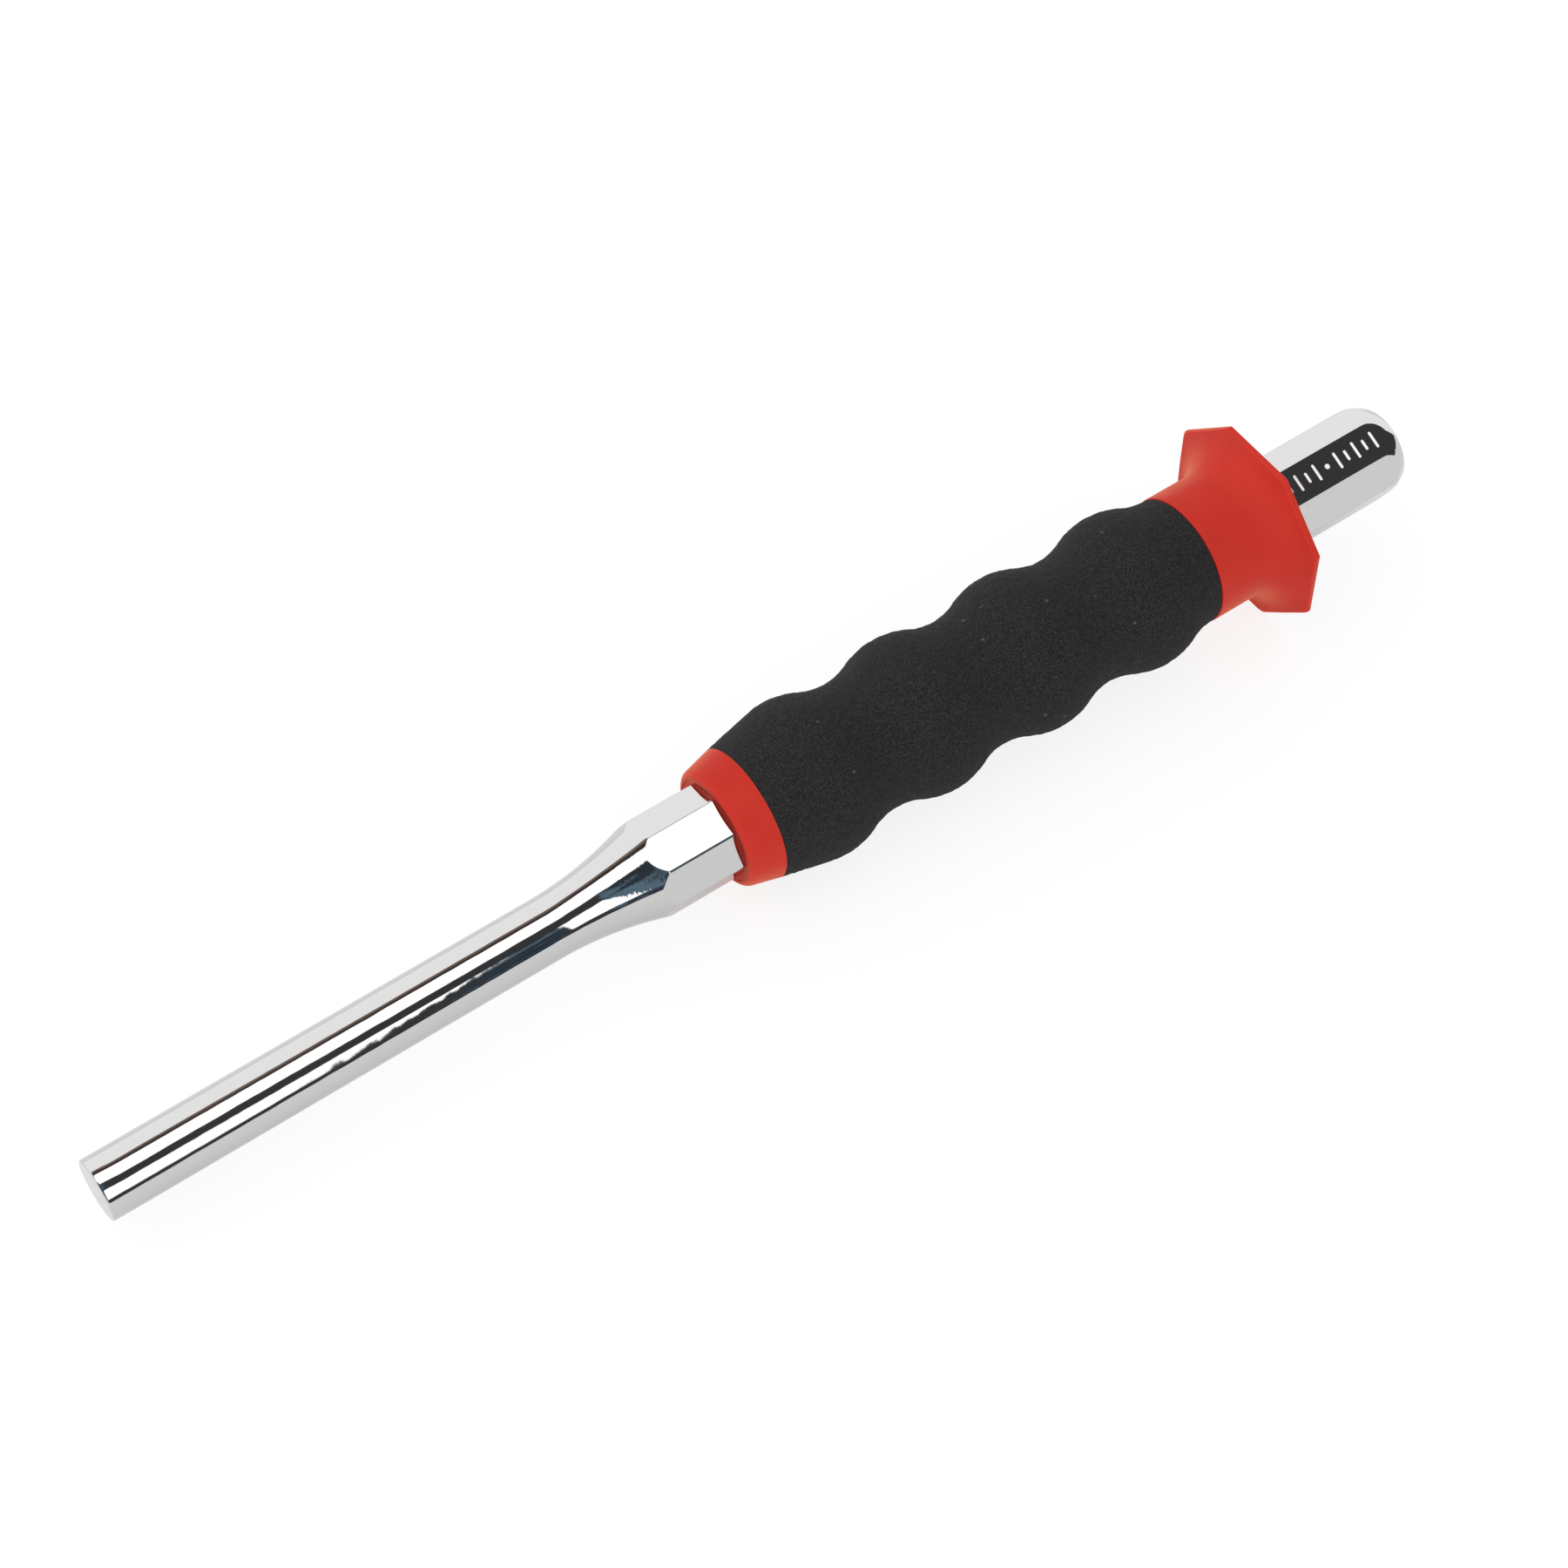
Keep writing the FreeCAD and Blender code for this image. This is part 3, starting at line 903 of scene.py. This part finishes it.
@dataclass
class FoamGrip:
    """Foam sleeve with four finger swells and a fine open grain."""

    shank: Shank
    core_wall: float = 1.1 * MM
    stretch: float = 0.1 * MM
    ring_wall: float = 2.0 * MM
    waist_wall: float = 1.8 * MM
    swell_height: float = 2.28 * MM
    swell_count: int = 4
    pitch: float = 21.0 * MM
    lead: float = 11.3 * MM
    edge: float = 0.35 * MM
    relief: float = 0.035 * MM
    coarse_relief: float = 0.02 * MM
    deepest: float = 0.12 * MM
    highest: float = 0.06 * MM
    rows: int = 320
    cols: int = 270

    def profile(self, x: np.ndarray, start: float) -> np.ndarray:
        """Radius along the sleeve.

        Crests and waists are arcs of one radius R that meet a quarter pitch from each crest: with u the
        distance from the nearest crest, the radius is crest - R + sqrt(R^2 - u^2) up to the meeting point
        and waist + R - sqrt(R^2 - (pitch / 2 - u)^2) past it. A straight line runs from the collar to
        where it touches the first crest's arc, and the last waist runs on level.

        Args:
            x: Places along the axis.
            start: Front end of the sleeve.

        Returns:
            One radius for each place.
        """
        waist = self.shank.corner() + self.core_wall + self.waist_wall
        crest = waist + self.swell_height
        quarter = self.pitch / 4
        half_height = self.swell_height / 2
        big = (quarter ** 2 + half_height ** 2) / (2 * half_height)
        first = start + self.lead
        last = first + (self.swell_count - 1) * self.pitch
        nearest = np.clip(np.round((x - first) / self.pitch), 0, self.swell_count - 1)
        off = np.minimum(np.abs(x - first - nearest * self.pitch), self.pitch / 2)
        on_crest = crest - big + np.sqrt(big ** 2 - np.minimum(off, quarter) ** 2)
        in_waist = waist + big - np.sqrt(big ** 2 - np.maximum(self.pitch / 2 - off, 0) ** 2)
        radius = np.where(off < quarter, on_crest, in_waist)
        radius = np.where(x > last + self.pitch / 2, waist, radius)
        start_radius = self.shank.corner() + self.core_wall + self.ring_wall
        rise = start_radius - (crest - big)
        reach = math.hypot(rise, self.lead)
        tangent = math.atan2(rise, -self.lead) - math.acos(big / reach)
        touch_x = first + big * math.cos(tangent)
        touch_r = crest - big + big * math.sin(tangent)
        slope = (touch_r - start_radius) / (touch_x - start)
        return np.where(x < touch_x, start_radius + slope * (x - start), radius)

    def build(self) -> bpy.types.Object:
        """The finished sleeve."""
        low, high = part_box(Node.FOAM.value)
        angle = np.arange(self.cols) * 2 * math.pi / self.cols
        x = np.linspace(low.x + self.edge, high.x - self.edge, self.rows)
        radius = self.profile(x, low.x)
        lumps = grain(self.rows, self.cols, 1.6, 11) * self.relief
        lumps += grain(self.rows, self.cols, 5.0, 12) * self.coarse_relief
        fade = np.clip(np.minimum(x - x[0], x[-1] - x) / (1.2 * MM), 0.15, 1)[:, None]
        skin = Skin(angle)
        turn = np.linspace(0, math.pi / 2, 6)[:-1]
        skin.add(low.x + self.edge * (1 - np.cos(turn)), radius[0] - self.edge * (1 - np.sin(turn)))
        skin.add(x, radius[:, None] + np.clip(lumps, -self.deepest, self.highest) * fade)
        turn = np.linspace(0, math.pi / 2, 6)[1:]
        skin.add(high.x - self.edge * (1 - np.sin(turn)), radius[-1] - self.edge * (1 - np.cos(turn)))
        bore = self.shank.corner() + self.core_wall - self.stretch
        skin.add(high.x, np.linspace(radius[-1] - self.edge, bore, 4)[1:])
        skin.add(np.linspace(high.x, low.x, 14)[1:], bore)
        skin.add(low.x, np.linspace(bore, radius[0] - self.edge, 4)[1:-1])
        piece = skin.build("black_foam_grip", ring=True)
        dress(piece, Node.FOAM, Slot.FOAM, FoamRubber().material())
        return piece


# ---------------------------------------------------------------------------------------------------
# Studio
# ---------------------------------------------------------------------------------------------------


@dataclass
class Studio:
    """Pale bench, light tent and camera."""

    bench_reach: float = 3.0
    bench_gap: float = 0.05 * MM
    panel: tuple[float, float, float, float] = (1.70, 1.70, 1.70, 1.0)
    background: tuple[float, float, float, float] = (0.98, 0.98, 0.98, 1.0)
    frame_turns: tuple[float, float] = (-33.5, 92.0)
    first_turns: tuple[float, float] = (-17.5, 17.5)
    first_end: float = 0.39
    second_turns: tuple[float, float] = (41.5, 77.0)
    second_leans: tuple[float, float] = (0.19, 0.335)
    frame_skew: float = 25.0
    near_skew: float = 0.0046
    far_skew: float = 0.0019
    frame_black: tuple[float, float, float, float] = (0.052, 0.053, 0.056, 1.0)
    rim_blue: tuple[float, float, float, float] = (0.14, 0.235, 0.31, 1.0)
    fill: float = 1.0
    front_light: float = 0.45
    lens: float = 82.49
    sensor: float = 36.0
    camera_place: tuple[float, float, float] = (-64.6 * MM, -263.3 * MM, 446.9 * MM)
    camera_azimuth: float = 35.04
    camera_down: float = 54.16
    camera_roll: float = -0.57

    def bench(self) -> bpy.types.Object:
        """A flat sheet that the tool lies on, touching the first swell and one flat of the guard."""
        guard_low, guard_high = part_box(Node.GUARD.value)
        foam_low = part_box(Node.FOAM.value)[0]
        swell = foam_low.x + FoamGrip.lead
        slope = (guard_low.z - foam_low.z) / (guard_high.x - swell)
        corner = np.array([[-1, -1], [1, -1], [1, 1], [-1, 1]]) * self.bench_reach
        z = foam_low.z + slope * (corner[:, 0] - swell) - self.bench_gap
        points = np.column_stack((corner, z))
        made = mesh_object("bench", points, np.arange(4), np.array([4]))
        made.data.materials.append(PalePaper().material())
        return made

    def tent(self) -> None:
        """A light tent around the tool, drawn by direction.

        Directions are told apart by their angle round the tool's axis and their lean towards the head.
        The walls are light grey. Overhead hangs a dark frame from one side to the other, and two white
        panels are set in it with the camera's slot between them.
        """
        world = bpy.data.worlds.new("light tent")
        bpy.context.scene.world = world
        world.use_nodes = True
        sheet = Sheet(world.node_tree)
        backdrop = world.node_tree.nodes["Background"]
        way = sheet.node("ShaderNodeTexCoord").outputs["Generated"]
        lean, across, up = sheet.node("ShaderNodeSeparateXYZ", Vector=way).outputs
        radians = sheet.math("ARCTAN2", sheet.math("MULTIPLY", across, -1.0), up)
        ragged = sheet.math("MULTIPLY", sheet.math("SUBTRACT", sheet.noise(way, 14.0, 3.0), 0.5), 5.0)
        turn = sheet.math("ADD", sheet.math("MULTIPLY", radians, 180 / math.pi), ragged)
        skew = sheet.math("MULTIPLY", lean, self.frame_skew)
        sheared = sheet.math("SUBTRACT", turn, skew)
        far_side = sheet.math("SUBTRACT", turn, sheet.math("MAXIMUM", skew, 0.0))
        frame = sheet.window(far_side, self.frame_turns[0], None, 3.5)
        frame = sheet.math("MULTIPLY", frame, sheet.window(turn, None, self.frame_turns[1], 2.5))
        first = sheet.window(far_side, self.first_turns[0], None, 2.0)
        first = sheet.math("MULTIPLY", first, sheet.window(sheared, None, self.first_turns[1], 2.0))
        first = sheet.math("MULTIPLY", first, sheet.window(lean, None, self.first_end, 0.02))
        near_edge = sheet.math("ADD", lean, sheet.math("MULTIPLY", turn, self.near_skew))
        second = sheet.window(sheared, self.second_turns[0], None, 2.0)
        second = sheet.math("MULTIPLY", second, sheet.window(turn, None, self.second_turns[1], 2.0))
        near_end = sheet.window(near_edge, self.second_leans[0], None, 0.015)
        second = sheet.math("MULTIPLY", second, near_end)
        far_edge = sheet.math("ADD", lean, sheet.math("MULTIPLY", turn, self.far_skew))
        far_end = sheet.window(far_edge, None, self.second_leans[1], 0.015)
        second = sheet.math("MULTIPLY", second, far_end)
        wall = sheet.mixed(sheet.window(turn, -100.0, None, 20.0), (1.05, 1.05, 1.05, 1.0),
                          (1.205, 1.20, 1.20, 1.0))
        wall = sheet.mixed(sheet.window(turn, 90.0, None, 2.0), wall, (1.08, 1.08, 1.08, 1.0))
        dark = self.frame_colour(sheet, way, turn, far_side, lean)
        glow = sheet.math("MULTIPLY", sheet.window(near_edge, 0.06, 0.26, 0.06),
                          sheet.window(turn, 44.0, 79.0, 8.0))
        dark = sheet.mixed(sheet.math("MULTIPLY", glow, 0.75), dark, self.rim_blue)
        seen = sheet.mixed(frame, wall, dark)
        seen = sheet.mixed(first, seen, self.panel)
        seen = sheet.mixed(second, seen, self.panel)
        path = sheet.node("ShaderNodeLightPath").outputs
        soft = sheet.between(up, -0.3, 1.0, self.fill * 0.90, self.fill * 1.10)
        soft = sheet.math("SUBTRACT", soft, sheet.math("MULTIPLY", lean, self.fill * self.front_light))
        even = sheet.mixed(sheet.math("MULTIPLY", soft, 0.5), (0.0, 0.0, 0.0, 1.0), (2.0, 2.0, 2.0, 1.0))
        seen = sheet.mixed(path["Is Diffuse Ray"], seen, even)
        sheet.put(backdrop.inputs["Color"], sheet.mixed(path["Is Camera Ray"], seen, self.background))
        backdrop.inputs["Strength"].default_value = 1.0

    def frame_colour(self, sheet: Sheet, way: bpy.types.NodeSocket, turn: bpy.types.NodeSocket,
                     far_side: bpy.types.NodeSocket, lean: bpy.types.NodeSocket) -> bpy.types.NodeSocket:
        """Colour of the dark frame: brown on the far side, black along the slot, mottled blue at the camera.

        Args:
            sheet: Node sheet of the world.
            way: Direction.
            turn: Angle round the tool's axis, in degrees.
            far_side: The same angle from the frame's far side.
            lean: Part of the direction along the tool.

        Returns:
            The frame's colour by direction.
        """
        mottle = sheet.noise(sheet.stretched(way, (9.0, 5.0, 5.0)), 1.0, 2.0)
        blue = sheet.mixed(sheet.between(mottle, 0.42, 0.68, 0.0, 1.0), (0.033, 0.046, 0.062, 1.0),
                          (0.13, 0.20, 0.26, 1.0))
        nearer = sheet.window(lean, None, 0.0, 0.03)
        past = sheet.window(lean, 0.235, 0.36, 0.02)
        past = sheet.math("MULTIPLY", past, sheet.window(turn, 45.0, None, 3.0))
        tinted = sheet.mixed(sheet.math("MAXIMUM", nearer, past), self.frame_black, blue)
        brown = sheet.mixed(sheet.window(far_side, -26.0, None, 8.0), (0.24, 0.175, 0.145, 1.0),
                           (0.050, 0.038, 0.034, 1.0))
        return sheet.mixed(sheet.window(turn, None, 0.0, 4.0), tinted, brown)

    def camera(self) -> bpy.types.Object:
        """The camera, above and in front of the tip, looking down along the tool."""
        data = bpy.data.cameras.new("camera")
        data.lens = self.lens
        data.sensor_width = self.sensor
        data.clip_start = 0.01
        made = bpy.data.objects.new("camera", data)
        bpy.context.scene.collection.objects.link(made)
        around = math.radians(self.camera_azimuth)
        down = math.radians(self.camera_down)
        look = Vector((math.sin(around) * math.cos(down), math.cos(around) * math.cos(down), -math.sin(down)))
        turn = look.to_track_quat("-Z", "Y").to_matrix()
        roll = Matrix.Rotation(math.radians(self.camera_roll), 3, "Z")
        made.matrix_world = Matrix.Translation(self.camera_place) @ (turn @ roll).to_4x4()
        bpy.context.scene.camera = made
        return made

    def build(self) -> None:
        """Sets up the whole studio."""
        self.bench()
        self.tent()
        self.camera()
        scene = bpy.context.scene
        scene.view_settings.view_transform = "Standard"
        scene.view_settings.look = "None"


def main() -> None:
    """Builds every piece and the studio."""
    logging.basicConfig(level=logging.INFO, format="%(name)s: %(message)s")
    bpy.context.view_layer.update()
    Studio().build()
    shank = Shank()
    PunchForging(shank).build()
    HandGuard(shank).build()
    FrontCollar(shank).build()
    FoamGrip(shank).build()


if __name__ == "__main__":
    main()
